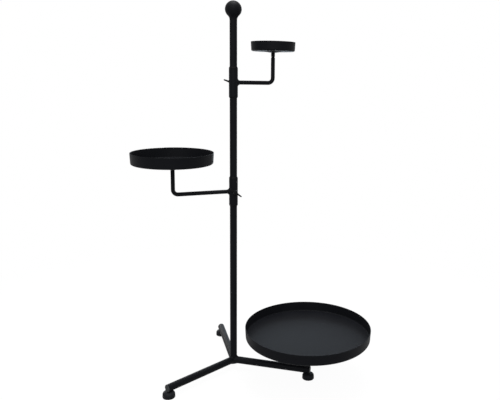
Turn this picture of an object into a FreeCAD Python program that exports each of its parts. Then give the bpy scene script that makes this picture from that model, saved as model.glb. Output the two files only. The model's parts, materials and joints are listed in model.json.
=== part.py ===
import FreeCAD, Part
import math
import os

from FreeCAD import Vector

# Plant table: a stem on three welded legs carries one fixed tray and two trays on clamped swivel arms.
# Millimetres, +Z up. The origin is where the stem's axis meets the floor, and +X runs along the tray leg.

# Stem and finial
STEM_DIAMETER = 19.0
STEM_WALL = 1.5
STEM_TOP_HEIGHT = 940.9
BALL_DIAMETER = 42.0
BALL_NECK_RADIUS = 14.0
FINIAL_SPIGOT_LENGTH = 22.0
STEM_PLUG_LENGTH = 8.0

# Legs and their end plugs
LEG_COUNT = 3
LEG_DIAMETER = 19.0
LEG_WALL = 1.5
LEG_REACH = 218.8
BASE_WELD_RADIUS = 6.0
PLUG_HEAD_THICKNESS = 1.0
PLUG_INSERT_LENGTH = 15.0
PLUG_EDGE_BEVEL = 0.4

# Feet
FOOT_HEIGHT = 15.5
FOOT_DIAMETER = 32.0
FOOT_INSET = 5.2
FOOT_BAND_HEIGHT = 5.0
FOOT_BAND_STEP = 0.8
FOOT_BAND_ROUND = 1.6
FOOT_CROWN_DIAMETER = 15.0
FOOT_DOME_FULLNESS = 0.8
FOOT_STUD_EMBED = 10.0
FOOT_STUD_ENGAGEMENT = 9.0

# Trays
TRAY_SHEET = 1.5
TRAY_CORNER_RADIUS = 4.0
TRAY_DRAFT = 3.0
LOWER_TRAY_DIAMETER = 334.0
LOWER_TRAY_DEPTH = 28.0
LOWER_TRAY_BASE_HEIGHT = 122.5
LOWER_POST_INSET = 8.9
MID_TRAY_DIAMETER = 207.0
MID_TRAY_DEPTH = 28.5
UPPER_TRAY_DIAMETER = 116.0
UPPER_TRAY_DEPTH = 24.0

# What fixes a tray on its rod
FLANGE_DIAMETER = 44.0
FLANGE_HUB_DIAMETER = 16.0
FLANGE_EDGE_THICKNESS = 1.2
FLANGE_HUB_THICKNESS = 3.2
STUB_DIAMETER = 10.0
STUB_LENGTH = 15.7
ROD_JOINT_CHAMFER = 0.7
TRAY_STUD_HALF_LENGTH = 9.0

# Arms
ROD_DIAMETER = 10.5
ARM_BEND_RADIUS = 13.0
ARM_WELD_RADIUS = 6.0
POST_WELD_RADIUS = 2.4
MID_ARM_HEIGHT = 503.5
MID_ARM_REACH = 158.5
MID_ARM_RISE = 79.8
MID_ARM_HEADING = 215.5
UPPER_ARM_DROP = 154.2
UPPER_ARM_REACH = 108.7
UPPER_ARM_RISE = 81.0
UPPER_ARM_HEADING = 38.6

# Sleeves and guide bushes
BUSH_WALL = 0.9
BUSH_SPIGOT_LENGTH = 12.0
BUSH_LIP_LENGTH = 4.0
BUSH_LIP_LAND = 1.0
BUSH_LIP_TIP = 0.5
SLEEVE_WALL = 1.0
SLEEVE_LENGTH = 70.0

# Wing screws and weld nuts
SCREW_DIAMETER = 6.0
NUT_DIAMETER = 13.0
NUT_HEIGHT = 4.0
WING_SPAN = 39.0
WING_CHORD = 4.4
WING_THICKNESS = 3.3
WING_FLARE = 1.4
WING_EDGE_ROUND = 0.9
WING_SEAT_GAP = 0.6
HUB_DIAMETER = 10.0
HUB_HEIGHT = 7.0
HUB_BEVEL = 1.5
MID_WING_TURN = -37.0
UPPER_WING_TURN = 18.5

# Fits: running between pieces that turn or slide, close between pieces of one body
RUNNING_FIT = 0.05
CLOSE_FIT = 0.05
SIDE_PLAY = 0.3
STUD_DIAMETER = 6.0
STUD_HOLE_PLAY = 0.2

# Sizes that follow from the ones above
UP = Vector(0, 0, 1)
stem_radius = STEM_DIAMETER / 2
leg_radius = LEG_DIAMETER / 2
leg_axis_height = FOOT_HEIGHT + leg_radius
rod_radius = ROD_DIAMETER / 2
stud_radius = STUD_DIAMETER / 2
bush_bore = stem_radius + RUNNING_FIT
bush_outside = bush_bore + BUSH_WALL
sleeve_bore = bush_outside + RUNNING_FIT
sleeve_radius = sleeve_bore + SLEEVE_WALL
foot_reach = LEG_REACH - FOOT_INSET
foot_stud_top = FOOT_HEIGHT + LEG_WALL + FOOT_STUD_ENGAGEMENT
post_reach = LEG_REACH - LOWER_POST_INSET
nut_face = sleeve_radius + NUT_HEIGHT
upper_arm_height = STEM_TOP_HEIGHT - UPPER_ARM_DROP


def heading(degrees):
    """Level unit vector at that angle from +X."""
    turn = math.radians(degrees)
    return Vector(math.cos(turn), math.sin(turn), 0)


def rod(radius, start, end):
    """Round bar from one point to another."""
    along = end - start
    return Part.makeCylinder(radius, along.Length, start, along)


def arc(first, middle, last):
    """Edge of the circle through three points."""
    return Part.Arc(first, middle, last).toShape()


def line(first, last):
    """Straight edge between two points."""
    return Part.LineSegment(first, last).toShape()


def turned(edges):
    """Solid of revolution about Z of a closed outline drawn in the XZ plane."""
    outline = Part.Wire(edges)
    return Part.Face(outline).revolve(Vector(0, 0, 0), UP, 360)


def turned_polygon(points):
    """Solid of revolution about Z of straight runs through (radius, height) pairs."""
    corners = [Vector(radius, 0, height) for radius, height in points]
    corners.append(corners[0])
    return Part.Face(Part.makePolygon(corners)).revolve(Vector(0, 0, 0), UP, 360)


def seam_edges(fused, members):
    """Edges of a fused joint that lie on the surfaces of two of its members."""
    seams = []
    for edge in fused.Edges:
        middle = Part.Vertex(edge.valueAt((edge.FirstParameter + edge.LastParameter) / 2))
        touching = [m for m in members if m.Shells[0].distToShape(middle)[0] < 1e-4]
        if len(touching) > 1:
            seams.append(edge)
    return seams


def weld_bead(members, radius):
    """Concave bead that a fillet of that radius adds where bars meet."""
    fused = members[0].multiFuse(members[1:]).removeSplitter()
    bead = fused.makeFillet(radius, seam_edges(fused, members))
    for member in members:
        bead = bead.cut(member)
    return bead.Solids[0]


def stem_tube():
    """Upright tube, open at both ends."""
    low = Vector(0, 0, FOOT_HEIGHT)
    high = Vector(0, 0, STEM_TOP_HEIGHT)
    return rod(stem_radius, low, high).cut(rod(stem_radius - STEM_WALL, low, high))


def ball_finial():
    """Ball whose neck sweeps down to the tube's outside, with a spigot inside the tube."""
    ball = BALL_DIAMETER / 2
    spigot = stem_radius - STEM_WALL - CLOSE_FIT
    neck_centre = stem_radius + BALL_NECK_RADIUS
    rise = math.sqrt((ball + BALL_NECK_RADIUS) ** 2 - neck_centre ** 2)
    slope = math.atan2(rise, neck_centre)
    half = slope / 2
    centre = STEM_TOP_HEIGHT + rise
    meet_radius = ball * math.cos(slope)
    meet_height = centre - ball * math.sin(slope)
    neck_radius = neck_centre - BALL_NECK_RADIUS * math.cos(half)
    neck_height = STEM_TOP_HEIGHT + BALL_NECK_RADIUS * math.sin(half)
    foot = Vector(0, 0, STEM_TOP_HEIGHT - FINIAL_SPIGOT_LENGTH)
    spigot_foot = Vector(spigot, 0, foot.z)
    spigot_top = Vector(spigot, 0, STEM_TOP_HEIGHT)
    shoulder = Vector(stem_radius, 0, STEM_TOP_HEIGHT)
    neck = Vector(neck_radius, 0, neck_height)
    meet = Vector(meet_radius, 0, meet_height)
    equator = Vector(ball, 0, centre)
    crown = Vector(0, 0, centre + ball)
    outline = [
        line(foot, spigot_foot),
        line(spigot_foot, spigot_top),
        line(spigot_top, shoulder),
        arc(shoulder, neck, meet),
        arc(meet, equator, crown),
        line(crown, foot),
    ]
    return turned(outline)


def stem_end_plug():
    """Plug in the lower end of the stem, flush with it."""
    radius = stem_radius - STEM_WALL - CLOSE_FIT
    return Part.makeCylinder(radius, STEM_PLUG_LENGTH, Vector(0, 0, FOOT_HEIGHT))


def leg_bar(turn):
    """Whole round bar of a leg, from the stem's axis to the end of the tube."""
    start = Vector(0, 0, leg_axis_height)
    end = start + heading(turn) * (LEG_REACH - PLUG_HEAD_THICKNESS)
    return rod(leg_radius, start, end)


def foot_point(turn, height):
    """Point on a foot's axis."""
    return heading(turn) * foot_reach + UP * height


def leg_tube(turn):
    """Leg tube, saddle-cut to the stem and mitred against its neighbours, with the foot's stud hole."""
    start = Vector(0, 0, leg_axis_height)
    bore = rod(leg_radius - LEG_WALL, start, start + heading(turn) * LEG_REACH)
    share = 360 / LEG_COUNT
    sector = Part.makeCylinder(LEG_REACH * 2, leg_axis_height * 2, Vector(0, 0, 0), UP, share)
    sector.rotate(Vector(0, 0, 0), UP, turn - share / 2)
    stem = rod(stem_radius, Vector(0, 0, 0), Vector(0, 0, STEM_TOP_HEIGHT))
    stud_hole = rod(stud_radius + STUD_HOLE_PLAY, foot_point(turn, 0), foot_point(turn, leg_axis_height))
    return leg_bar(turn).common(sector).cut(bore).cut(stem).cut(stud_hole)


def base_weld(turns):
    """Weld fillets round the foot of the stem, full above the legs and ground flush below them."""
    bars = [leg_bar(turn) for turn in turns]
    stem = rod(stem_radius, Vector(0, 0, FOOT_HEIGHT), Vector(0, 0, leg_axis_height * 4))
    fused = stem.multiFuse(bars).removeSplitter()
    reach = LEG_REACH * 2
    block = Part.makeBox(reach * 2, reach * 2, STEM_TOP_HEIGHT, Vector(-reach, -reach, leg_axis_height))
    upper_half = fused.common(block).removeSplitter()
    seams = []
    for edge in seam_edges(upper_half, [stem] + bars):
        if max(vertex.Z for vertex in edge.Vertexes) > leg_axis_height + CLOSE_FIT:
            seams.append(edge)
    upper = upper_half.makeFillet(BASE_WELD_RADIUS, seams).cut(stem)
    for bar in bars:
        upper = upper.cut(bar)
    lower = upper.mirror(Vector(0, 0, leg_axis_height), UP)
    flush = Part.makeBox(reach * 2, reach * 2, leg_radius, Vector(-reach, -reach, FOOT_HEIGHT))
    return upper.fuse(lower.common(flush)).removeSplitter()


def leg_end_plug(turn):
    """Push-in plug: a disc over the tube's end, an insert inside it and a hole for the foot's stud."""
    insert = leg_radius - LEG_WALL - CLOSE_FIT
    outline = [
        (0, -PLUG_INSERT_LENGTH),
        (insert, -PLUG_INSERT_LENGTH),
        (insert, 0),
        (leg_radius, 0),
        (leg_radius, PLUG_HEAD_THICKNESS - PLUG_EDGE_BEVEL),
        (leg_radius - PLUG_EDGE_BEVEL, PLUG_HEAD_THICKNESS),
        (0, PLUG_HEAD_THICKNESS),
    ]
    plug = turned_polygon(outline)
    plug.rotate(Vector(0, 0, 0), Vector(0, 1, 0), 90)
    plug.translate(Vector(LEG_REACH - PLUG_HEAD_THICKNESS, 0, leg_axis_height))
    plug.rotate(Vector(0, 0, 0), UP, turn)
    hole_top = foot_point(turn, foot_stud_top + CLOSE_FIT)
    return plug.cut(rod(stud_radius + CLOSE_FIT, foot_point(turn, 0), hole_top))


def foot(turn):
    """Domed foot: a flat-bottomed band with a rounded lower edge, and a dome up to the leg."""
    band = FOOT_DIAMETER / 2
    dome = band - FOOT_BAND_STEP
    crown = FOOT_CROWN_DIAMETER / 2
    top = FOOT_HEIGHT - CLOSE_FIT
    dome_foot = FOOT_BAND_HEIGHT + FOOT_BAND_STEP / 2
    round_in = FOOT_BAND_ROUND * (1 - math.cos(math.radians(45)))
    middle = Vector(0, 0, 0)
    base_edge = Vector(band - FOOT_BAND_ROUND, 0, 0)
    base_round = Vector(band - round_in, 0, round_in)
    band_foot = Vector(band, 0, FOOT_BAND_ROUND)
    band_top = Vector(band, 0, FOOT_BAND_HEIGHT)
    dome_start = Vector(dome, 0, dome_foot)
    bulge_radius = crown + (dome - crown) * FOOT_DOME_FULLNESS
    dome_bulge = Vector(bulge_radius, 0, dome_foot + (top - dome_foot) * FOOT_DOME_FULLNESS)
    dome_end = Vector(crown, 0, top)
    summit = Vector(0, 0, top)
    outline = [
        line(middle, base_edge),
        arc(base_edge, base_round, band_foot),
        line(band_foot, band_top),
        line(band_top, dome_start),
        arc(dome_start, dome_bulge, dome_end),
        line(dome_end, summit),
        line(summit, middle),
    ]
    body = turned(outline)
    hole_floor = Vector(0, 0, FOOT_HEIGHT - FOOT_STUD_EMBED)
    body = body.cut(rod(stud_radius + CLOSE_FIT, hole_floor, Vector(0, 0, FOOT_HEIGHT)))
    body.translate(foot_point(turn, 0))
    return body


def foot_stud(turn):
    """Stud moulded into a foot and screwed into the leg's end plug."""
    low = FOOT_HEIGHT - FOOT_STUD_EMBED + CLOSE_FIT
    return rod(stud_radius, foot_point(turn, low), foot_point(turn, foot_stud_top))


def tray(diameter, depth):
    """Pressed sheet tray: flat floor, rounded corner, wall leaning out and round rim; underside at zero."""
    lean = math.radians(TRAY_DRAFT)
    bend = (math.radians(90) + lean) / 2
    across_wall = Vector(math.cos(lean), 0, -math.sin(lean))
    along_wall = Vector(math.sin(lean), 0, math.cos(lean))
    across_bend = Vector(math.cos(bend), 0, -math.sin(bend))
    half_sheet = TRAY_SHEET / 2
    outer_round = TRAY_CORNER_RADIUS
    inner_round = TRAY_CORNER_RADIUS - TRAY_SHEET
    middle_round = TRAY_CORNER_RADIUS - half_sheet
    rim = Vector(diameter / 2 - half_sheet, 0, depth - half_sheet)
    wall_length = (rim.z - outer_round - middle_round * across_wall.z) / along_wall.z
    corner = rim - along_wall * wall_length - across_wall * middle_round
    underside = Vector(0, 0, 0)
    floor = Vector(0, 0, TRAY_SHEET)
    outer_foot = corner - UP * outer_round
    outer_wall = corner + across_wall * outer_round
    outer_rim = rim + across_wall * half_sheet
    inner_rim = rim - across_wall * half_sheet
    inner_wall = corner + across_wall * inner_round
    inner_foot = corner - UP * inner_round
    outline = [
        line(underside, outer_foot),
        arc(outer_foot, corner + across_bend * outer_round, outer_wall),
        line(outer_wall, outer_rim),
        arc(outer_rim, rim + along_wall * half_sheet, inner_rim),
        line(inner_rim, inner_wall),
        arc(inner_wall, corner + across_bend * inner_round, inner_foot),
        line(inner_foot, floor),
        line(floor, underside),
    ]
    return turned(outline)


def tray_flange():
    """Dished washer welded under a tray, thicker at its hub; its top face is at zero."""
    bore = STUB_DIAMETER / 2 + CLOSE_FIT
    outline = [
        (bore, 0),
        (FLANGE_DIAMETER / 2, 0),
        (FLANGE_DIAMETER / 2, -FLANGE_EDGE_THICKNESS),
        (FLANGE_HUB_DIAMETER / 2, -FLANGE_HUB_THICKNESS),
        (bore, -FLANGE_HUB_THICKNESS),
    ]
    return turned_polygon(outline)


def tray_stub():
    """Threaded boss under a tray, chamfered where it meets the rod; its top face is at zero."""
    radius = STUB_DIAMETER / 2
    bore = stud_radius + CLOSE_FIT
    depth = -STUB_LENGTH + TRAY_STUD_HALF_LENGTH + CLOSE_FIT
    outline = [
        (0, 0),
        (radius, 0),
        (radius, -STUB_LENGTH + ROD_JOINT_CHAMFER),
        (radius - ROD_JOINT_CHAMFER, -STUB_LENGTH),
        (bore, -STUB_LENGTH),
        (bore, depth),
        (0, depth),
    ]
    return turned_polygon(outline)


def tray_stud():
    """Threaded stud, half in the stub and half in the rod below it."""
    low = Vector(0, 0, -STUB_LENGTH - TRAY_STUD_HALF_LENGTH)
    return Part.makeCylinder(stud_radius, TRAY_STUD_HALF_LENGTH * 2, low)


def rod_end_cut():
    """What is cut from a rod's upper end: chamfer and stud hole; the tray's underside is at zero."""
    top = -STUB_LENGTH
    hole_floor = top - TRAY_STUD_HALF_LENGTH - CLOSE_FIT
    chamfer = [
        (rod_radius - ROD_JOINT_CHAMFER, top),
        (rod_radius * 2, top),
        (rod_radius * 2, top - ROD_JOINT_CHAMFER),
        (rod_radius, top - ROD_JOINT_CHAMFER),
    ]
    hole = rod(stud_radius + CLOSE_FIT, Vector(0, 0, hole_floor), Vector(0, 0, top))
    return turned_polygon(chamfer).fuse(hole)


def moved(shape, place):
    """Copy of a shape carried to a place."""
    copy = shape.copy()
    copy.translate(place)
    return copy


def tray_set(prefix, diameter, depth, place):
    """A tray with the flange, stub and stud below it, placed by the middle of its underside."""
    return {
        prefix + "_tray": moved(tray(diameter, depth), place),
        prefix + "_tray_flange": moved(tray_flange(), place),
        prefix + "_tray_stub": moved(tray_stub(), place),
        prefix + "_tray_stud": moved(tray_stud(), place),
    }


def lower_tray_post(bar, place):
    """Upright rod from the tray leg to the lower tray, saddle-cut to the leg."""
    start = Vector(place.x, place.y, leg_axis_height)
    post = rod(rod_radius, start, place - UP * STUB_LENGTH)
    return post.cut(bar).cut(moved(rod_end_cut(), place))


def sleeve():
    """Tube that carries an arm, with a side hole for the wing screw; the arm's axis is at zero height."""
    half = UP * (SLEEVE_LENGTH / 2)
    wall = rod(sleeve_radius, half * -1, half).cut(rod(sleeve_bore, half * -1, half))
    screw_hole = rod(SCREW_DIAMETER / 2 + STUD_HOLE_PLAY, Vector(0, 0, 0), Vector(0, sleeve_radius * 2, 0))
    return wall.cut(screw_hole)


def arm(reach, rise):
    """Rod bent once to an L, saddle-cut to the sleeve; it leaves the sleeve along +X."""
    bend_start = Vector(reach - ARM_BEND_RADIUS, 0, 0)
    bend_end = Vector(reach, 0, ARM_BEND_RADIUS)
    lift = ARM_BEND_RADIUS * math.cos(math.radians(45))
    bend_middle = Vector(bend_start.x + lift, 0, ARM_BEND_RADIUS - lift)
    top = Vector(reach, 0, rise - STUB_LENGTH)
    path = Part.Wire([
        line(Vector(0, 0, 0), bend_start),
        arc(bend_start, bend_middle, bend_end),
        line(bend_end, top),
    ])
    section = Part.Wire([Part.makeCircle(rod_radius, Vector(0, 0, 0), Vector(1, 0, 0))])
    bar = path.makePipeShell([section], True, False)
    half = UP * (SLEEVE_LENGTH / 2)
    bar = bar.cut(rod(sleeve_radius, half * -1, half))
    return bar.cut(moved(rod_end_cut(), Vector(reach, 0, rise)))


def arm_weld(reach):
    """Flared weld bead between an arm and its sleeve."""
    half = UP * (SLEEVE_LENGTH / 2)
    bar = rod(rod_radius, Vector(0, 0, 0), Vector(reach - ARM_BEND_RADIUS, 0, 0))
    return weld_bead([rod(sleeve_radius, half * -1, half), bar], ARM_WELD_RADIUS)


def clamp_nut():
    """Round weld nut on the sleeve, a quarter turn from the arm."""
    half = UP * (SLEEVE_LENGTH / 2)
    body = rod(NUT_DIAMETER / 2, Vector(0, 0, 0), Vector(0, nut_face, 0))
    bore = rod(SCREW_DIAMETER / 2 + RUNNING_FIT, Vector(0, 0, 0), Vector(0, nut_face, 0))
    return body.cut(rod(sleeve_radius, half * -1, half)).cut(bore)


def wing_blade(seat):
    """Both wings as one bar along X: concentric arcs with round tips that curve away from the seat."""
    tip_round = WING_CHORD / 2
    tip = WING_SPAN / 2 - tip_round
    curve = (tip ** 2 + WING_FLARE ** 2) / (2 * WING_FLARE)
    sweep = math.asin(tip / curve)
    centre = Vector(0, 0, seat + tip_round + WING_SEAT_GAP + curve)

    def at(angle, radius):
        return centre + Vector(math.sin(angle), 0, -math.cos(angle)) * radius

    def cap(angle, ahead):
        return at(angle, curve) + Vector(math.cos(angle), 0, math.sin(angle)) * (ahead * tip_round)

    near = curve + tip_round
    far = curve - tip_round
    outline = Part.Wire([
        arc(at(-sweep, near), at(0, near), at(sweep, near)),
        arc(at(sweep, near), cap(sweep, 1), at(sweep, far)),
        arc(at(sweep, far), at(0, far), at(-sweep, far)),
        arc(at(-sweep, far), cap(-sweep, -1), at(-sweep, near)),
    ])
    half = Vector(0, WING_THICKNESS / 2, 0)
    blade = moved(Part.Face(outline), half * -1).extrude(half * 2)
    edges = [edge for edge in blade.Edges if edge.BoundBox.YLength < WING_THICKNESS / 2]
    return blade.makeFillet(WING_EDGE_ROUND, edges)


def wing_screw(turn):
    """Wing screw: shank, bevelled hub and wings, turned about its own axis and pointing along +Y."""
    shank = SCREW_DIAMETER / 2
    hub = HUB_DIAMETER / 2
    tip = stem_radius + SIDE_PLAY
    seat = nut_face + SIDE_PLAY
    crown = seat + HUB_HEIGHT
    body = turned_polygon([
        (0, tip),
        (shank, tip),
        (shank, seat),
        (hub, seat),
        (hub, crown - HUB_BEVEL),
        (hub - HUB_BEVEL, crown),
        (0, crown),
    ])
    screw = body.fuse(wing_blade(seat))
    screw.rotate(Vector(0, 0, 0), UP, turn)
    screw.rotate(Vector(0, 0, 0), Vector(1, 0, 0), -90)
    return screw


def guide_bush():
    """Guide bush in a sleeve's upper end: a thin spigot inside the sleeve and a bevelled lip above it."""
    end = SLEEVE_LENGTH / 2
    lip = end + SIDE_PLAY
    return turned_polygon([
        (bush_bore, end - BUSH_SPIGOT_LENGTH),
        (bush_outside, end - BUSH_SPIGOT_LENGTH),
        (bush_outside, lip),
        (sleeve_radius, lip),
        (sleeve_radius, lip + BUSH_LIP_LAND),
        (bush_bore + BUSH_LIP_TIP, lip + BUSH_LIP_LENGTH),
        (bush_bore, lip + BUSH_LIP_LENGTH),
    ])


def bracket(prefix, height, reach, rise, turn, wing_turn, tray_diameter, tray_depth):
    """A swivel arm with everything on it, built along +X at zero height, then turned and lifted."""
    upper_bush = guide_bush()
    pieces = {
        prefix + "_guide_bush_top": upper_bush,
        prefix + "_guide_bush_bottom": upper_bush.mirror(Vector(0, 0, 0), UP),
        prefix + "_sleeve": sleeve(),
        prefix + "_arm": arm(reach, rise),
        prefix + "_arm_weld": arm_weld(reach),
        prefix + "_clamp_nut": clamp_nut(),
        prefix + "_wing_screw": wing_screw(wing_turn),
    }
    pieces.update(tray_set(prefix, tray_diameter, tray_depth, Vector(reach, 0, rise)))
    for shape in pieces.values():
        shape.rotate(Vector(0, 0, 0), UP, turn)
        shape.translate(UP * height)
    return pieces


def base():
    """Stem, legs, feet and the lower tray on its post."""
    leg_names = ["tray_leg", "rear_leg", "front_leg"]
    turns = [index * 360 / LEG_COUNT for index in range(LEG_COUNT)]
    pieces = {
        "stem_tube": stem_tube(),
        "ball_finial": ball_finial(),
        "stem_end_plug": stem_end_plug(),
        "base_weld": base_weld(turns),
        "foot_studs": Part.makeCompound([foot_stud(turn) for turn in turns]),
    }
    for name, turn in zip(leg_names, turns):
        pieces[name] = leg_tube(turn)
        pieces[name + "_end_plug"] = leg_end_plug(turn)
        pieces[name + "_foot"] = foot(turn)
    tray_place = heading(turns[0]) * post_reach + UP * LOWER_TRAY_BASE_HEIGHT
    tray_bar = leg_bar(turns[0])
    post_bar = rod(rod_radius, Vector(post_reach, 0, leg_axis_height), tray_place - UP * STUB_LENGTH)
    pieces["lower_tray_post"] = lower_tray_post(tray_bar, tray_place)
    pieces["lower_post_weld"] = weld_bead([tray_bar, post_bar], POST_WELD_RADIUS)
    pieces.update(tray_set("lower", LOWER_TRAY_DIAMETER, LOWER_TRAY_DEPTH, tray_place))
    return pieces


pieces = base()
pieces.update(bracket("mid", MID_ARM_HEIGHT, MID_ARM_REACH, MID_ARM_RISE, MID_ARM_HEADING,
                      MID_WING_TURN, MID_TRAY_DIAMETER, MID_TRAY_DEPTH))
pieces.update(bracket("upper", upper_arm_height, UPPER_ARM_REACH, UPPER_ARM_RISE, UPPER_ARM_HEADING,
                      UPPER_WING_TURN, UPPER_TRAY_DIAMETER, UPPER_TRAY_DEPTH))

os.makedirs("parts", exist_ok=True)
for name, shape in pieces.items():
    shape.exportStep("parts/" + name + ".step")
    print(name, "solids", len(shape.Solids), "volume", round(shape.Volume, 1), "valid", shape.isValid())
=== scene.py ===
# %% [markdown]
# # A plant table in satin black
#
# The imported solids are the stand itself: a stem on three welded legs, a fixed lower tray, and two
# smaller trays on arms that slide, swivel and clamp. Their shapes are right, so most of them stay.
# This script gives each its finish, draws anew what the solids only outline, which is the weld
# beads, the wing screws and the stubs below the trays, and sets floor, light and camera.

# %% Load the frame
import json
import math

import bpy
import numpy as np
from mathutils import Matrix, Vector


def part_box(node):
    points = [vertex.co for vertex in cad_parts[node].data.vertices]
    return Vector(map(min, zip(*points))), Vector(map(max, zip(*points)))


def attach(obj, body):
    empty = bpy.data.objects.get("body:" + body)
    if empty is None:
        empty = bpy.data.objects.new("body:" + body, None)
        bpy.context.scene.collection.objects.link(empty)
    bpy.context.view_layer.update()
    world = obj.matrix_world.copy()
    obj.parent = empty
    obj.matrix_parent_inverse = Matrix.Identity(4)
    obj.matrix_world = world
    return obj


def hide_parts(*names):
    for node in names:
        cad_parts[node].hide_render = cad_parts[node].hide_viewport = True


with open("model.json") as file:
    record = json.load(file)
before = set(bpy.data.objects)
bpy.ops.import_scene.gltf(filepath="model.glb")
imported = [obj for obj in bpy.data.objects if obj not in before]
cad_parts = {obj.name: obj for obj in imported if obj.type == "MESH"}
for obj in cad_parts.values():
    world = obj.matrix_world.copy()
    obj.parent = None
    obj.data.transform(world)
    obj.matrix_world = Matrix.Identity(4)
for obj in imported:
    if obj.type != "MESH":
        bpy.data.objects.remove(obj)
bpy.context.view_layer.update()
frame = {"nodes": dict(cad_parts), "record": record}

nodes = frame["nodes"]

# %% [markdown]
# ## Colours and nodes
#
# A paint maker gives a colour as an sRGB hex value, but light adds up in linear values, so one
# function converts. Another adds a shader node with its settings and its links, which keeps each
# finish below down to what is special about it. Patterns are given in millimetres, because that is
# how one measures a grain or an orange peel on the real thing.

# %% Colour and node helpers
MILLIMETRE = 0.001


def linear(hex_colour):
    """sRGB hex to linear RGBA: c / 12.92 for small c, else ((c + 0.055) / 1.055) to the 2.4."""
    channels = np.array([int(hex_colour[i:i + 2], 16) for i in (1, 3, 5)]) / 255
    low = channels / 12.92
    high = ((channels + 0.055) / 1.055) ** 2.4
    return (*np.where(channels <= 0.04045, low, high), 1.0)


def per_metre(size_mm):
    """Noise scale whose features are about that many millimetres across, on Object coordinates."""
    return 1 / (size_mm * MILLIMETRE)


def add_node(tree, kind, settings=(), links=(), **attributes):
    """A node of a kind: attributes on the node, settings on its inputs, links from other sockets."""
    node = tree.nodes.new(kind)
    for name, value in attributes.items():
        setattr(node, name, value)
    for name, value in dict(settings).items():
        node.inputs[name].default_value = value
    for name, socket in dict(links).items():
        tree.links.new(socket, node.inputs[name])
    return node


def cleared_tree(owner):
    """The empty node tree of a material or a world."""
    owner.use_nodes = True
    owner.node_tree.nodes.clear()
    return owner.node_tree


print("mid grey in linear light:", round(float(linear("#808080")[0]), 3))

# %% [markdown]
# ## A finish from a pattern
#
# Nothing real has one colour and one gloss all over. Each finish below is drawn from a pattern that
# its making left behind: where the pattern is high, the tone is a little lighter and the surface a
# little duller. The same pattern, or a finer one, can also lift the surface in small bumps.

# %% Patterned finish
# Noise seldom reaches the ends of its range, so the tone changes over the middle of it.
TONE_SPAN = (0.35, 0.65)


def patterned_finish(name, pattern, tones, gloss, shader, depth_mm=0.0, relief=None, reading="Fac"):
    """Material whose tone and gloss follow a pattern, and its bumps a relief or the same pattern.

    Pattern and relief are texture nodes, given as the words for add_node. The tone slides between
    two hex colours, the gloss between two values of roughness. Shader holds what is the same all
    over.
    """
    material = bpy.data.materials.new(name)
    tree = cleared_tree(material)
    place = {"Vector": add_node(tree, "ShaderNodeTexCoord").outputs["Object"]}
    value = add_node(tree, links=place, **pattern).outputs[reading]
    tone = add_node(tree, "ShaderNodeValToRGB", links={"Fac": value})
    for element, position, colour in zip(tone.color_ramp.elements, TONE_SPAN, tones):
        element.position = position
        element.color = linear(colour)
    ends = {"To Min": gloss[0], "To Max": gloss[1]}
    rough = add_node(tree, "ShaderNodeMapRange", ends, {"Value": value})
    links = {"Base Color": tone.outputs["Color"], "Roughness": rough.outputs["Result"]}
    if depth_mm:
        height = add_node(tree, links=place, **relief).outputs["Fac"] if relief else value
        depth = {"Distance": depth_mm * MILLIMETRE}
        bump = add_node(tree, "ShaderNodeBump", depth, {"Height": height})
        links["Normal"] = bump.outputs["Normal"]
    body = add_node(tree, "ShaderNodeBsdfPrincipled", shader, links)
    add_node(tree, "ShaderNodeOutputMaterial", links={"Surface": body.outputs["BSDF"]})
    return material


print("tones change between", TONE_SPAN[0], "and", TONE_SPAN[1], "of a pattern's range")

# %% [markdown]
# ## Satin black powder coat
#
# Stem, legs, arms and trays are sprayed with dry polyester powder that melts into a film in the
# oven. The film flows, but not quite flat: it keeps a shallow orange peel, which softens every
# reflection, and its gloss drifts a little with its thickness. A real film has an index of about
# 1.5, but it seldom stands in a studio that is white all round, as this one is. So the index is set
# lower, until faces that look at the camera are as deep a black as they should be, while faces seen
# at a low angle, such as the floor of a tray, still mirror their surroundings.

# %% Powder coat
COAT_INDEX = 1.13
# A real orange peel is about a millimetre from crest to crest: it is drawn coarser, to show.
PEEL_MM = 3.0
PEEL_DEPTH_MM = 0.012
FILM_CLOUD_MM = 60.0

film_clouds = dict(
    kind="ShaderNodeTexNoise", settings={"Scale": per_metre(FILM_CLOUD_MM), "Detail": 3.0})
orange_peel = dict(
    kind="ShaderNodeTexNoise", settings={"Scale": per_metre(PEEL_MM), "Detail": 1.0})
satin_black = patterned_finish(
    "satin_black_powder_coat", film_clouds, tones=("#0d0e11", "#0f1013"), gloss=(0.47, 0.55),
    shader={"IOR": COAT_INDEX}, depth_mm=PEEL_DEPTH_MM, relief=orange_peel)
print("powder coat: index", COAT_INDEX, "orange peel", PEEL_MM, "mm")

# %% [markdown]
# ## Moulded feet and plugs, guide bushes
#
# The feet and the plugs in the leg ends are moulded in black polyethylene. The mould was spark
# eroded, which leaves a fine even grain and a duller, slightly greyer black than the coat. The
# guide bushes are nylon turned from bar: the tool leaves fine rings round the stem's axis, so their
# pattern depends on height alone.

# %% Plastics
# Spark-eroded grain is about 0.1 mm and turning marks about 0.15 mm: both are drawn coarser here.
GRAIN_MM = 0.8
GRAIN_DEPTH_MM = 0.02
TURNING_MM = 1.3817
TURNING_DEPTH_MM = 0.02
# The wave node runs through 20 radians for each unit of length times scale.
WAVE_RADIANS = 20

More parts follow.
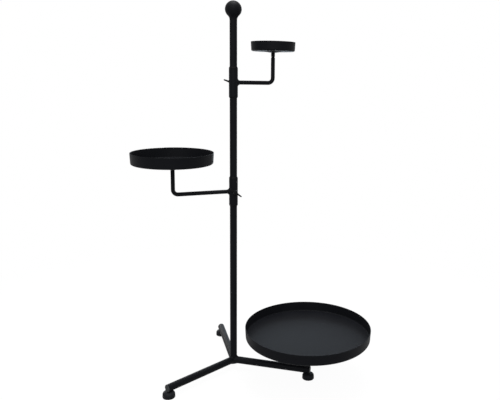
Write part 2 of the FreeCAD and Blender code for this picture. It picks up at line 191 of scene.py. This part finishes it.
mould_grain = dict(
    kind="ShaderNodeTexNoise", settings={"Scale": per_metre(GRAIN_MM), "Detail": 2.0})
turning_marks = dict(
    kind="ShaderNodeTexWave", wave_type="BANDS", bands_direction="Z",
    settings={"Scale": 2 * math.pi * per_metre(TURNING_MM) / WAVE_RADIANS, "Distortion": 0.4})
foot_plastic = patterned_finish(
    "moulded_black_polyethylene", mould_grain, tones=("#18191c", "#1c1d20"), gloss=(0.44, 0.56),
    shader={"IOR": COAT_INDEX}, depth_mm=GRAIN_DEPTH_MM)
# The plugs get the same grain and gloss as the feet, in a lighter grey.
plug_plastic = patterned_finish(
    "moulded_lighter_plug", mould_grain, tones=("#343637", "#3a3c3d"), gloss=(0.44, 0.56),
    shader={"IOR": COAT_INDEX}, depth_mm=GRAIN_DEPTH_MM)
nylon = patterned_finish(
    "turned_black_nylon", turning_marks, tones=("#0e0e10", "#121214"), gloss=(0.36, 0.50),
    shader={"IOR": COAT_INDEX}, depth_mm=TURNING_DEPTH_MM)
print("plastics: grain", GRAIN_MM, "mm, turning marks", TURNING_MM, "mm")

# %% [markdown]
# ## Fasteners
#
# The wing screws and their weld nuts are cast or forged, then blackened in a bath that leaves the
# rough skin of the casting as it is. The studs inside feet and trays are zinc plated: a real metal,
# so it keeps the default index and takes its look from colour and roughness.

# %% Fastener finishes
CASTING_MM = 1.6
CASTING_DEPTH_MM = 0.06
ZINC_SPANGLE_MM = 1.2

casting_lumps = dict(
    kind="ShaderNodeTexNoise", settings={"Scale": per_metre(CASTING_MM), "Detail": 4.0})
zinc_spangle = dict(
    kind="ShaderNodeTexVoronoi", settings={"Scale": per_metre(ZINC_SPANGLE_MM)})
black_casting = patterned_finish(
    "blackened_casting", casting_lumps, tones=("#0c0d0e", "#111214"), gloss=(0.38, 0.55),
    shader={"IOR": COAT_INDEX}, depth_mm=CASTING_DEPTH_MM)
bright_zinc = patterned_finish(
    "bright_zinc_plate", zinc_spangle, tones=("#b4b8bd", "#c6c9cc"), gloss=(0.24, 0.38),
    shader={"Metallic": 1.0}, reading="Distance")
print("fasteners: casting", CASTING_MM, "mm, zinc spangle", ZINC_SPANGLE_MM, "mm")

# %% Finish the solids
finishes = {
    "black_powder_coat": satin_black,
    "black_plastic": foot_plastic,
    "black_nylon": nylon,
    "black_fastener_steel": black_casting,
    "zinc_plated_steel": bright_zinc,
}
for part in frame["record"]["subparts"]:
    mesh = nodes[part["node"]].data
    mesh.materials.clear()
    is_plug = part["node"].endswith("leg_end_plug")
    mesh.materials.append(plug_plastic if is_plug else finishes[part["material_slot"]])

# %% [markdown]
# ## Weld beads
#
# Each arm is welded to its sleeve, the post to its leg and each nut to its sleeve. A bead is the
# puddle that fills the corner, frozen in scales as the torch moves on. Its smooth form is a rolling
# ball: for each angle round the rod, a ball that touches rod and tube has its centre at a known
# distance from both axes, and the bead's face is the arc of that ball between the two contacts.
# Crescent ripples then swell the face, and fade out at both edges.

# %% Weld bead surface
BEAD_STEPS = 240
BEAD_FACETS = 14
# How far a bead's edges reach below the surfaces that it joins.
SINK = 0.05 * MILLIMETRE
# A torch led by hand leaves waves in the size of the bead: share, number round the rod and start.
HAND_WAVES = ((0.05, 3, 0.7), (0.03, 7, 0.0))
CRESCENT = 1.2


def ball_contacts(rod, tube, ball, angle):
    """Centre of the ball, its contacts with rod and tube, and the corner there, at each angle.

    The centre is (sqrt((tube + ball)^2 - y^2), y, z), with y and z (rod + ball) times cos and sin.
    """
    y, z = (rod + ball) * np.cos(angle), (rod + ball) * np.sin(angle)
    x = np.sqrt((tube + ball) ** 2 - y ** 2)
    rod_y, rod_z = (rod - SINK) * np.cos(angle), (rod - SINK) * np.sin(angle)
    share = (tube - SINK) / (tube + ball)
    corner_x = np.sqrt((tube - SINK) ** 2 - rod_y ** 2)
    places = (x, y, z), (x, rod_y, rod_z), (x * share, y * share, z), (corner_x, rod_y, rod_z)
    return [np.stack(place, -1) for place in places]


def weld_ring(rod, tube, ball, ripple, pitch):
    """Closed ring of points (angle, section, xyz) between a rod along X and a tube along Z.

    The face turns about the ball's centre from the contact on the rod to the contact on the tube.
    It is moved towards the centre by ripple * |sin| of the bead's length, with a crescent phase.
    """
    angle = np.linspace(0, 2 * np.pi, BEAD_STEPS, endpoint=False)[:, None]
    across = np.linspace(0, 1, BEAD_FACETS)[None, :]
    uneven = 1 + sum(share * np.sin(number * angle + start) for share, number, start in HAND_WAVES)
    centre, on_rod, on_tube, corner = ball_contacts(rod, tube, ball * uneven, angle)
    to_rod, to_tube = on_rod - centre, on_tube - centre
    way = to_rod * (1 - across[..., None]) + to_tube * across[..., None]
    rod_reach, tube_reach = np.linalg.norm(to_rod, axis=-1), np.linalg.norm(to_tube, axis=-1)
    reach = rod_reach * (1 - across) + tube_reach * across
    scales = round(2 * np.pi * (rod + ball) / pitch)
    wave = np.abs(np.sin(scales * angle / 2 + CRESCENT * np.pi * (across - 0.5) ** 2))
    swell = ripple * wave * np.sin(np.pi * across)
    face = centre + way / np.linalg.norm(way, axis=-1, keepdims=True) * (reach - swell)[..., None]
    return np.concatenate([face, corner], 1)


print("bead grid:", BEAD_STEPS, "by", BEAD_FACETS + 1, "points")

# %% Bead rings
ROD_RADIUS = 5.25 * MILLIMETRE
SLEEVE_RADIUS = 11.5 * MILLIMETRE
LEG_RADIUS = 9.5 * MILLIMETRE
NUT_RADIUS = 6.5 * MILLIMETRE
ARM_BEAD = 6.0 * MILLIMETRE
POST_BEAD = 2.4 * MILLIMETRE
NUT_BEAD = 1.2 * MILLIMETRE
ARM_RIPPLE = 0.30 * MILLIMETRE
FINE_RIPPLE = 0.15 * MILLIMETRE
ARM_PITCH = 2.6 * MILLIMETRE
POST_PITCH = 1.73 * MILLIMETRE
NUT_PITCH = 1.3 * MILLIMETRE

arm_ring = weld_ring(ROD_RADIUS, SLEEVE_RADIUS, ARM_BEAD, ARM_RIPPLE, ARM_PITCH)
nut_ring = weld_ring(NUT_RADIUS, SLEEVE_RADIUS, NUT_BEAD, FINE_RIPPLE, NUT_PITCH)
post_ring = weld_ring(ROD_RADIUS, LEG_RADIUS, POST_BEAD, FINE_RIPPLE, POST_PITCH)
print("arm bead reaches", round(arm_ring[..., 0].max() / MILLIMETRE, 2), "mm from the stem's axis")

# %% [markdown]
# ## From points to pieces
#
# A Blender object is a mesh with a place of its own. Here the place goes into the points instead
# and the object stays at the origin, as the solids do, so that a pattern on Object coordinates stays
# put on the piece. A grid that closes both ways becomes a ring of quads, and the sign of its volume
# tells whether its faces look outwards.

# %% Piece helpers
def placed_piece(name, points, faces, place, finish):
    """Smooth mesh object of points and faces, whose points a matrix carries to their place."""
    placed = points @ np.array(place.to_3x3()).T + np.array(place.translation)
    mesh = bpy.data.meshes.new(name)
    mesh.from_pydata(placed.tolist(), [], faces)
    mesh.polygons.foreach_set("use_smooth", np.ones(len(faces), bool))
    mesh.materials.append(finish)
    piece = bpy.data.objects.new(name, mesh)
    bpy.context.scene.collection.objects.link(piece)
    return piece


def ring_piece(name, ring, place, finish):
    """Piece of a grid of points that closes in both directions, with its faces turned outwards."""
    steps, sides = ring.shape[:2]
    index = np.arange(steps * sides).reshape(steps, sides)
    ahead = np.roll(index, -1, 0)
    quads = np.stack([index, ahead, np.roll(ahead, -1, 1), np.roll(index, -1, 1)], -1)
    quads = quads.reshape(-1, 4)
    points = ring.reshape(-1, 3)
    a, b, c, d = (points[quads[:, corner]] for corner in range(4))
    volume = np.sum(a * np.cross(b, c)) + np.sum(a * np.cross(c, d))
    if volume < 0:
        quads = quads[:, ::-1]
    return placed_piece(name, points, quads.tolist(), place, finish)


def middle(node):
    """Middle of a node's box."""
    low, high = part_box(node)
    return (Vector(low) + Vector(high)) / 2


def arm_place(level, turn_degrees=0):
    """Matrix at the height of a sleeve's arm, with X along the arm or a turn on from it."""
    tray = middle(level + "_tray")
    heading = math.atan2(tray.y, tray.x) + math.radians(turn_degrees)
    height = Matrix.Translation((0, 0, middle(level + "_sleeve").z))
    return height @ Matrix.Rotation(heading, 4, "Z")


def upright_place(x, y, z):
    """Matrix at a point, with X pointing up."""
    return Matrix(((0, 0, 1, x), (0, -1, 0, y), (1, 0, 0, z), (0, 0, 0, 1)))


print("arms at", *[round(arm_place(level).translation.z, 4) for level in ("mid", "upper")], "m")

# %% [markdown]
# ## Where the beads go
#
# The frame gives the places: a sleeve's box gives the height of its arm, and the middle of its tray
# gives the arm's heading. The nut is a quarter turn on from the arm. The lower tray's post stands on
# a leg, and that leg's axis is as high as the plug in its end.

# %% Lay the beads
NUT_TURN_DEGREES = 90

for level in ("mid", "upper"):
    arm_bead = ring_piece(level + "_arm_bead", arm_ring, arm_place(level), satin_black)
    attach(arm_bead, level + "_bracket")
    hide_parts(level + "_arm_weld")
    nut_place = arm_place(level, NUT_TURN_DEGREES)
    nut_bead = ring_piece(level + "_nut_bead", nut_ring, nut_place, satin_black)
    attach(nut_bead, level + "_bracket")
    print(level, "beads:", len(arm_bead.data.polygons), "and", len(nut_bead.data.polygons), "faces")

post = middle("lower_tray_post")
leg_height = middle("tray_leg_end_plug").z
post_bead = ring_piece(
    "lower_post_bead", post_ring, upright_place(post.x, post.y, leg_height), satin_black)
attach(post_bead, "stand")
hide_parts("lower_post_weld")
print("post bead at", round(post.x, 4), round(leg_height, 4), "m")

# %% [markdown]
# ## Wing screws
#
# A wing screw is one casting: a shank, a hub that spreads towards its seat, and two wings that
# swell towards the hub and lean away from the clamp, so that fingers get behind them. The solid has
# a plain bevelled hub and wings of one thickness. A real casting is softer, so both are drawn anew:
# the hub as a profile turned about the screw's axis, the wings as one oval section along an arc.

# %% Hub surface
TURNED_STEPS = 48
SCREW_TIP = 9.8 * MILLIMETRE
SCREW_SEAT = 15.8 * MILLIMETRE
SHANK_RADIUS = 3.0 * MILLIMETRE
HUB_RADIUS = 6.0 * MILLIMETRE
HUB_SPREAD = 0.9 * MILLIMETRE
HUB_HEIGHT = 7.5 * MILLIMETRE
HUB_EDGE = 0.3 * MILLIMETRE
HUB_POWER = 5
HUB_ROWS = 24


def rounded(angle, power):
    """Cosine and sine of a superellipse: each raised to 2 / power with its sign kept."""
    wave = np.stack([np.cos(angle), np.sin(angle)])
    return np.sign(wave) * np.abs(wave) ** (2 / power)


def turned(place, radius):
    """Rows (along, around, xyz) of a profile of places along X and radii, turned about X."""
    turn = np.linspace(0, 2 * np.pi, TURNED_STEPS, endpoint=False)
    place, radius = place[:, None], radius[:, None]
    return np.stack([place + 0 * turn, radius * np.cos(turn), radius * np.sin(turn)], -1)


def hub_rows():
    """Rows of shank and hub, turned about X.

    The hub's profile is a quarter of a superellipse, from the edge of the seat to the crown, and
    its radius grows towards the seat by HUB_SPREAD times the cube of the height that is left.
    """
    out, up = rounded(np.linspace(0, np.pi / 2, HUB_ROWS), HUB_POWER)
    hub_place = SCREW_SEAT + HUB_EDGE + (HUB_HEIGHT - HUB_EDGE) * up
    hub_radius = HUB_RADIUS * out + HUB_SPREAD * (1 - up) ** 3
    hub_radius[-1] = 0
    shank_place = [SCREW_TIP, SCREW_TIP, SCREW_SEAT, SCREW_SEAT]
    shank_radius = [0, SHANK_RADIUS, SHANK_RADIUS, hub_radius[0] - HUB_EDGE]
    return turned(np.append(shank_place, hub_place), np.append(shank_radius, hub_radius))


print("hub grid:", hub_rows().shape[0], "by", TURNED_STEPS, "points")

# %% Wing surface
WING_HALF_SPAN = 20.0 * MILLIMETRE
WING_CHORD = 5.0 * MILLIMETRE
WING_THICKNESS = 4.2 * MILLIMETRE
WING_SWELL = 1.8 * MILLIMETRE
SWELL_REACH = 0.4
WING_FLARE = 1.4 * MILLIMETRE
WING_SEAT_GAP = 0.5 * MILLIMETRE
WING_POWER = 2.6
TIP_POWER = 6
WING_ROWS = 61


def wing_rows(turn):
    """Rows of both wings: an oval of chord and thickness along an arc, a point at each tip.

    With v from -1 to 1 between the tips, the section's middle leaves the seat by WING_FLARE * v^2,
    its size is a superellipse of v, and near the hub its thickness gains
    WING_SWELL * exp(-(v / SWELL_REACH)^2).
    """
    v = np.sin(np.linspace(-np.pi / 2, np.pi / 2, WING_ROWS))[:, None]
    close = (1 - v ** TIP_POWER) ** (1 / TIP_POWER)
    round_turn = np.linspace(0, 2 * np.pi, TURNED_STEPS, endpoint=False)
    thick, chord = rounded(round_turn, WING_POWER)
    middle_line = SCREW_SEAT + WING_SEAT_GAP + WING_CHORD / 2 + WING_FLARE * v ** 2
    thickness = WING_THICKNESS + WING_SWELL * np.exp(-(v / SWELL_REACH) ** 2)
    x = middle_line + WING_CHORD / 2 * close * chord
    t = thickness / 2 * close * thick
    s = WING_HALF_SPAN * v + 0 * chord
    along, up = np.cos(turn), np.sin(turn)
    return np.stack([x, s * along - t * up, s * up + t * along], -1)


print("wing grid:", WING_ROWS, "by", TURNED_STEPS, "points")

# %% [markdown]
# ## From rows to a skin
#
# The rows of hub and wings close round, and their first and last rows have shrunk to a point. So a
# skin over them has quads between the rows and a fan of triangles at both ends, and no open edge.
# How far a screw is turned is read from its solid: the wings are where its points spread most.

# %% Skin helpers
def skin(rows, start):
    """Points and faces of rows that close round and end in one point, numbered from a start."""
    count, around = rows.shape[:2]
    points = np.concatenate([rows[0, :1], rows[1:-1].reshape(-1, 3), rows[-1, :1]])
    index = start + 1 + np.arange((count - 2) * around).reshape(count - 2, around)
    beside = np.roll(index, -1, 1)
    quads = np.stack([index[:-1], beside[:-1], beside[1:], index[1:]], -1).reshape(-1, 4)
    first = np.stack([np.full(around, start), beside[0], index[0]], -1)
    last = np.stack([np.full(around, start + len(points) - 1), index[-1], beside[-1]], -1)
    return points, quads.tolist() + first.tolist() + last.tolist()


def wing_turn(node, place):
    """Angle of a solid's wings about the screw's axis: the way in which its points spread most."""
    mesh = nodes[node].data
    points = np.empty(len(mesh.vertices) * 3)
    mesh.vertices.foreach_get("co", points)
    local = (points.reshape(-1, 3) - np.array(place.translation)) @ np.array(place.to_3x3())
    spread = np.linalg.eigh(np.cov(local[:, 1:].T))[1][:, -1]
    return math.atan2(spread[1], spread[0])


def wing_casting(name, turn, place, finish):
    """Piece of hub and wings, with the wings turned about the screw's axis."""
    hub, hub_faces = skin(hub_rows(), 0)
    wings, wing_faces = skin(wing_rows(turn), len(hub))
    return placed_piece(name, np.concatenate([hub, wings]), hub_faces + wing_faces, place, finish)


print("a hub has", len(skin(hub_rows(), 0)[1]), "faces")

# %% Cast the wing screws
for level in ("mid", "upper"):
    screw_place = arm_place(level, NUT_TURN_DEGREES)
    turn = wing_turn(level + "_wing_screw", screw_place)
    casting = wing_casting(level + "_wing_casting", turn, screw_place, black_casting)
    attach(casting, level + "_wing_screw")
    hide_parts(level + "_wing_screw")
    print(level, "wings turned", round(math.degrees(turn), 2), "degrees")

# %% [markdown]
# ## Turned stubs
#
# Each tray stands on a short stub, turned from bar and screwed to its rod or post. The turner necks
# the lower end to clear the thread, and that neck is the thin groove one sees below the small tray.
# The solid has only a fine bevel there, so the stub is turned anew: one profile about the upright
# axis, from the end of the hole for the stud, round the neck and up to the underside of the tray.

# %% Stub surface
STUB_RADIUS = 5.0 * MILLIMETRE
STUB_HOLE_RADIUS = 3.05 * MILLIMETRE
STUB_HOLE_DEPTH = 9.05 * MILLIMETRE
NECK_RADIUS = 4.0 * MILLIMETRE
NECK_LENGTH = 1.3 * MILLIMETRE
NECK_TAPER = 1.0 * MILLIMETRE
STUB_EDGE = 0.15 * MILLIMETRE


def stub_rows(length):
    """Rows of a stub: height above the joint and radius, with each edge broken, turned about X."""
    edge, shoulder = STUB_EDGE, NECK_LENGTH + NECK_TAPER
    place, radius = np.array([
        (STUB_HOLE_DEPTH, 0), (STUB_HOLE_DEPTH, STUB_HOLE_RADIUS - edge),
        (STUB_HOLE_DEPTH - edge, STUB_HOLE_RADIUS), (edge, STUB_HOLE_RADIUS),
        (0, STUB_HOLE_RADIUS + edge), (0, NECK_RADIUS - edge),
        (edge, NECK_RADIUS), (NECK_LENGTH - edge, NECK_RADIUS),
        (NECK_LENGTH + edge, NECK_RADIUS + edge), (shoulder - edge, STUB_RADIUS - edge),
        (shoulder + edge, STUB_RADIUS), (length - edge, STUB_RADIUS),
        (length, STUB_RADIUS - edge), (length, 0)]).T
    return turned(place, radius)


print("neck:", round((STUB_RADIUS - NECK_RADIUS) / MILLIMETRE, 2), "mm deep")

# %% Turn the stubs
for level, body in (("lower", "stand"), ("mid", "mid_bracket"), ("upper", "upper_bracket")):
    joint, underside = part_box(level + "_tray_stub")
    axis = middle(level + "_tray_stub")
    points, faces = skin(stub_rows(underside[2] - joint[2]), 0)
    stub = placed_piece(
        level + "_turned_stub", points, faces, upright_place(axis.x, axis.y, joint[2]), satin_black)
    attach(stub, body)
    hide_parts(level + "_tray_stub")
    print(level, "stub from", round(joint[2], 4), "to", round(underside[2], 4), "m")

# %% [markdown]
# ## Floor and surroundings
#
# The stand is shown on white: floor and surroundings are white to the camera and to reflections. As
# sources of light they are dimmer, because a floor that threw all its light back up would make the
# undersides and outer walls greyer than the insides of the trays. Near the feet the floor keeps a
# small share of its own shading, so that a soft shadow remains.

# %% Floor
WHITE = (1, 1, 1, 1)
FLOOR_HALF = 12.0
SHADOW_SHARE = 0.05
SHADOW_REACH = 1.2
PAPER_SEEN = "#f4f4f4"
PAPER_BOUNCE = "#616161"


def seen_directly(tree):
    """One where a ray comes from the camera, a reflection or a pane, zero where it only lights."""
    path = add_node(tree, "ShaderNodeLightPath").outputs
    seen = path["Is Camera Ray"]
    for kind in ("Is Glossy Ray", "Is Transmission Ray"):
        pair = {0: seen, 1: path[kind]}
        seen = add_node(tree, "ShaderNodeMath", links=pair, operation="MAXIMUM").outputs["Value"]
    return seen


def white_paper():
    """Paper that glows white where it is seen, less so near the stem, and is grey to other rays."""
    material = bpy.data.materials.new("white_paper_floor")
    tree = cleared_tree(material)
    place = add_node(tree, "ShaderNodeTexCoord").outputs["Object"]
    away = add_node(tree, "ShaderNodeVectorMath", links={0: place}, operation="LENGTH")
    white = add_node(
        tree, "ShaderNodeMapRange",
        {"From Max": SHADOW_REACH, "To Min": 1 - SHADOW_SHARE, "To Max": 1.0},
        {"Value": away.outputs["Value"]})
    seen = seen_directly(tree)
    share = add_node(
        tree, "ShaderNodeMath", links={0: white.outputs["Result"], 1: seen}, operation="MULTIPLY")
    tone = add_node(
        tree, "ShaderNodeMapRange",
        {"To Min": linear(PAPER_BOUNCE)[0], "To Max": linear(PAPER_SEEN)[0]}, {"Value": seen})
    paper = add_node(tree, "ShaderNodeBsdfDiffuse", links={"Color": tone.outputs["Result"]})
    glow = add_node(tree, "ShaderNodeEmission", {"Color": WHITE, "Strength": 1.0})
    mix = {0: share.outputs["Value"], 1: paper.outputs["BSDF"], 2: glow.outputs["Emission"]}
    surface = add_node(tree, "ShaderNodeMixShader", links=mix).outputs["Shader"]
    add_node(tree, "ShaderNodeOutputMaterial", links={"Surface": surface})
    return material


corners = np.array([[-1, -1, 0], [1, -1, 0], [1, 1, 0], [-1, 1, 0]]) * FLOOR_HALF
floor_mesh = bpy.data.meshes.new("studio_floor")
floor_mesh.from_pydata(corners.tolist(), [], [[0, 1, 2, 3]])
floor_mesh.materials.append(white_paper())
floor = bpy.data.objects.new("studio_floor", floor_mesh)
bpy.context.scene.collection.objects.link(floor)
print("floor:", 2 * FLOOR_HALF, "m wide")

# %% World
WORLD_LIGHT = 0.65

world = bpy.data.worlds.new("white_studio")
world_tree = cleared_tree(world)
strength = add_node(
    world_tree, "ShaderNodeMapRange", {"To Min": WORLD_LIGHT, "To Max": 1.0},
    {"Value": seen_directly(world_tree)}).outputs["Result"]
sky = add_node(world_tree, "ShaderNodeBackground", {"Color": WHITE}, {"Strength": strength})
add_node(world_tree, "ShaderNodeOutputWorld", links={"Surface": sky.outputs["Background"]})
bpy.context.scene.world = world
print("world: white where it is seen,", WORLD_LIGHT, "as a light")

# %% [markdown]
# ## Lamps
#
# Four soft boxes light the stand. A broad one in front reaches into the trays, one overhead finds
# the ball and the rims, a weak bluish one behind, like a window, gives the tray floors their cool
# sheen, and a small one near the floor behind lifts the rear leg out of the dark.

# %% Lamps
STAND_MIDDLE = 0.5
WINDOW_BLUE = "#d0eaff"


def soft_box(name, turn, rise, distance, side, watts, aim=STAND_MIDDLE, colour="#ffffff"):
    """Square lamp that faces the stem at a height, turned from the front towards +X and raised."""
    lamp = bpy.data.lights.new(name, "AREA")
    lamp.size = side
    lamp.energy = watts
    lamp.color = linear(colour)[:3]
    box = bpy.data.objects.new(name, lamp)
    bpy.context.scene.collection.objects.link(box)
    turned_to = Matrix.Rotation(math.radians(turn), 4, "Z")
    raised_to = Matrix.Rotation(math.radians(90 - rise), 4, "X")
    target, back_off = Matrix.Translation((0, 0, aim)), Matrix.Translation((0, 0, distance))
    box.matrix_world = target @ turned_to @ raised_to @ back_off


soft_box("front_soft_box", turn=12, rise=30, distance=6.0, side=5.0, watts=235)
soft_box("overhead_soft_box", turn=180, rise=85, distance=3.1, side=1.9, watts=133)
soft_box("window_soft_box", turn=192, rise=6, distance=3.0, side=1.5, watts=16, colour=WINDOW_BLUE)
soft_box("low_soft_box", turn=220, rise=0, distance=0.8, side=0.4, watts=2, aim=0.22)
print("lamps:", len(bpy.data.lights))

# %% [markdown]
# ## Camera
#
# Its place and its angle come from fitting the stand's own circles and lines to the picture. It is
# set as if on a turntable: placed ahead of the stem, pitched down and rolled, then turned about Z.

# %% Camera
PICTURE_WIDTH = 500
PICTURE_HEIGHT = 400
FOCAL_PIXELS = 571.7
CENTRE_X_PIXELS = 295.27
CENTRE_Y_PIXELS = 182.0
SENSOR_WIDTH_MM = 36
CAMERA_PLACE = (0.1628, -1.4800, 0.8054)
HEADING_DEGREES = 13.45
PITCH_DEGREES = 10.485
ROLL_DEGREES = 1.11

lens = bpy.data.cameras.new("photo_camera")
lens.sensor_width = SENSOR_WIDTH_MM
lens.lens = SENSOR_WIDTH_MM * FOCAL_PIXELS / PICTURE_WIDTH
lens.shift_x = (PICTURE_WIDTH / 2 - CENTRE_X_PIXELS) / PICTURE_WIDTH
lens.shift_y = (CENTRE_Y_PIXELS - PICTURE_HEIGHT / 2) / PICTURE_WIDTH
camera = bpy.data.objects.new("photo_camera", lens)
bpy.context.scene.collection.objects.link(camera)
heading = Matrix.Rotation(math.radians(HEADING_DEGREES), 4, "Z")
pitch = Matrix.Rotation(math.radians(90 - PITCH_DEGREES), 4, "X")
roll = Matrix.Rotation(math.radians(ROLL_DEGREES), 4, "Z")
camera.matrix_world = heading @ Matrix.Translation(CAMERA_PLACE) @ pitch @ roll
bpy.context.scene.camera = camera
bpy.context.scene.view_settings.view_transform = "Standard"
print("camera: lens", round(lens.lens, 2), "mm")
